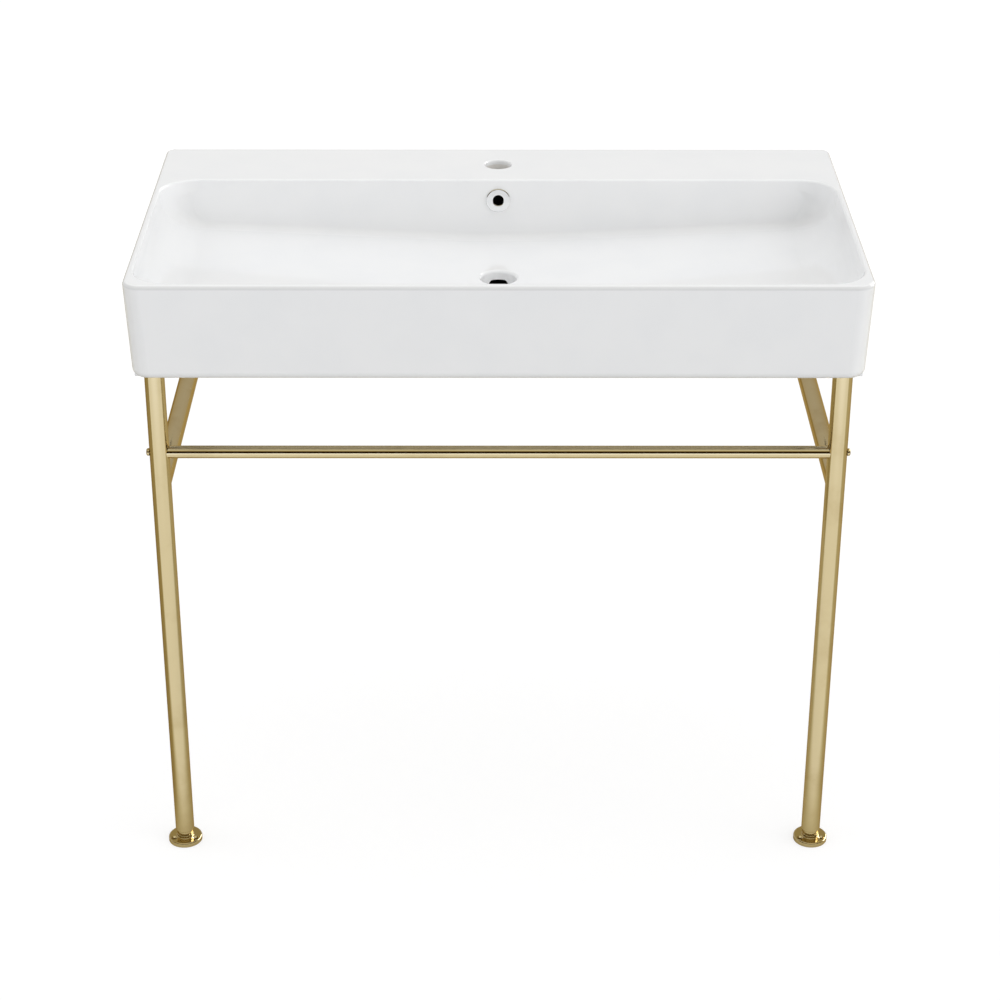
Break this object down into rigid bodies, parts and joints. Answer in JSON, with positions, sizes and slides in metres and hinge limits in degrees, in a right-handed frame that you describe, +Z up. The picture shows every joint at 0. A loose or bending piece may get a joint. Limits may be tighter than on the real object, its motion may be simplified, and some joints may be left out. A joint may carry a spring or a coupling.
{
  "type": "console sink with legs",
  "caption": "Glazed ceramic console basin with a tap ledge, drain and overflow, on a round-tube brass frame with front legs, levelling feet, a towel bar and side rails that meet the wall.",
  "frame": {"origin": "on the floor, under the middle of the object's box", "axes": "+Z up, +X to the right as seen from the front, +Y into the wall, which is the plane Y = 0.245"},
  "size_m": [0.8996, 0.4898, 0.84],
  "materials": {
    "glazed_ceramic": "opaque white glaze over vitreous china, glossy",
    "polished_brass": "pale champagne gold plating over brass tube, polished",
    "plated_screw": "gold plated pan head",
    "chrome_trim": "bright chrome",
    "soft_sleeve": "translucent white soft sleeve, matt",
    "rubber_pad": "black rubber, matt",
    "nylon": "black nylon, matt",
    "zinc_steel": "bright zinc plated steel"
  },
  "bodies": {
    "console": {"basin": "glazed_ceramic", "overflow_ring": "chrome_trim", "overflow_sleeve": "soft_sleeve", "towel_bar": "polished_brass", "leg_left": "polished_brass", "leg_cap_left": "nylon", "leg_pad_left": "rubber_pad", "foot_insert_left": "nylon", "side_rail_left": "polished_brass", "wall_flange_left": "polished_brass", "rail_set_screw_left": "zinc_steel", "bar_insert_left": "zinc_steel", "bar_screw_left": "plated_screw", "leg_right": "polished_brass", "leg_cap_right": "nylon", "leg_pad_right": "rubber_pad", "foot_insert_right": "nylon", "side_rail_right": "polished_brass", "wall_flange_right": "polished_brass", "rail_set_screw_right": "zinc_steel", "bar_insert_right": "zinc_steel", "bar_screw_right": "plated_screw"},
    "left_foot": {"foot_flange_left": "polished_brass"},
    "left_stud": {"foot_stud_left": "zinc_steel", "foot_collar_left": "polished_brass"},
    "right_foot": {"foot_flange_right": "polished_brass"},
    "right_stud": {"foot_stud_right": "zinc_steel", "foot_collar_right": "polished_brass"}
  },
  "joints": [
    {"name": "left_foot_drop", "type": "slide", "parent": "console", "child": "left_foot", "axis": [0, 0, -1], "range_m": [0, 0.012]},
    {"name": "left_collar_turn", "type": "hinge", "parent": "left_foot", "child": "left_stud", "pos_m": [-0.426, -0.177, 0.014], "axis": [0, 0, -1], "range_deg": [0, 2880]},
    {"name": "right_foot_drop", "type": "slide", "parent": "console", "child": "right_foot", "axis": [0, 0, -1], "range_m": [0, 0.012]},
    {"name": "right_collar_turn", "type": "hinge", "parent": "right_foot", "child": "right_stud", "pos_m": [0.426, -0.177, 0.014], "axis": [0, 0, -1], "range_deg": [0, 2880]}
  ],
  "couplings": [
    {"joint": "left_collar_turn", "follows": "left_foot_drop", "rad_per_m": 4188.8},
    {"joint": "right_collar_turn", "follows": "right_foot_drop", "rad_per_m": 4188.8}
  ]
}
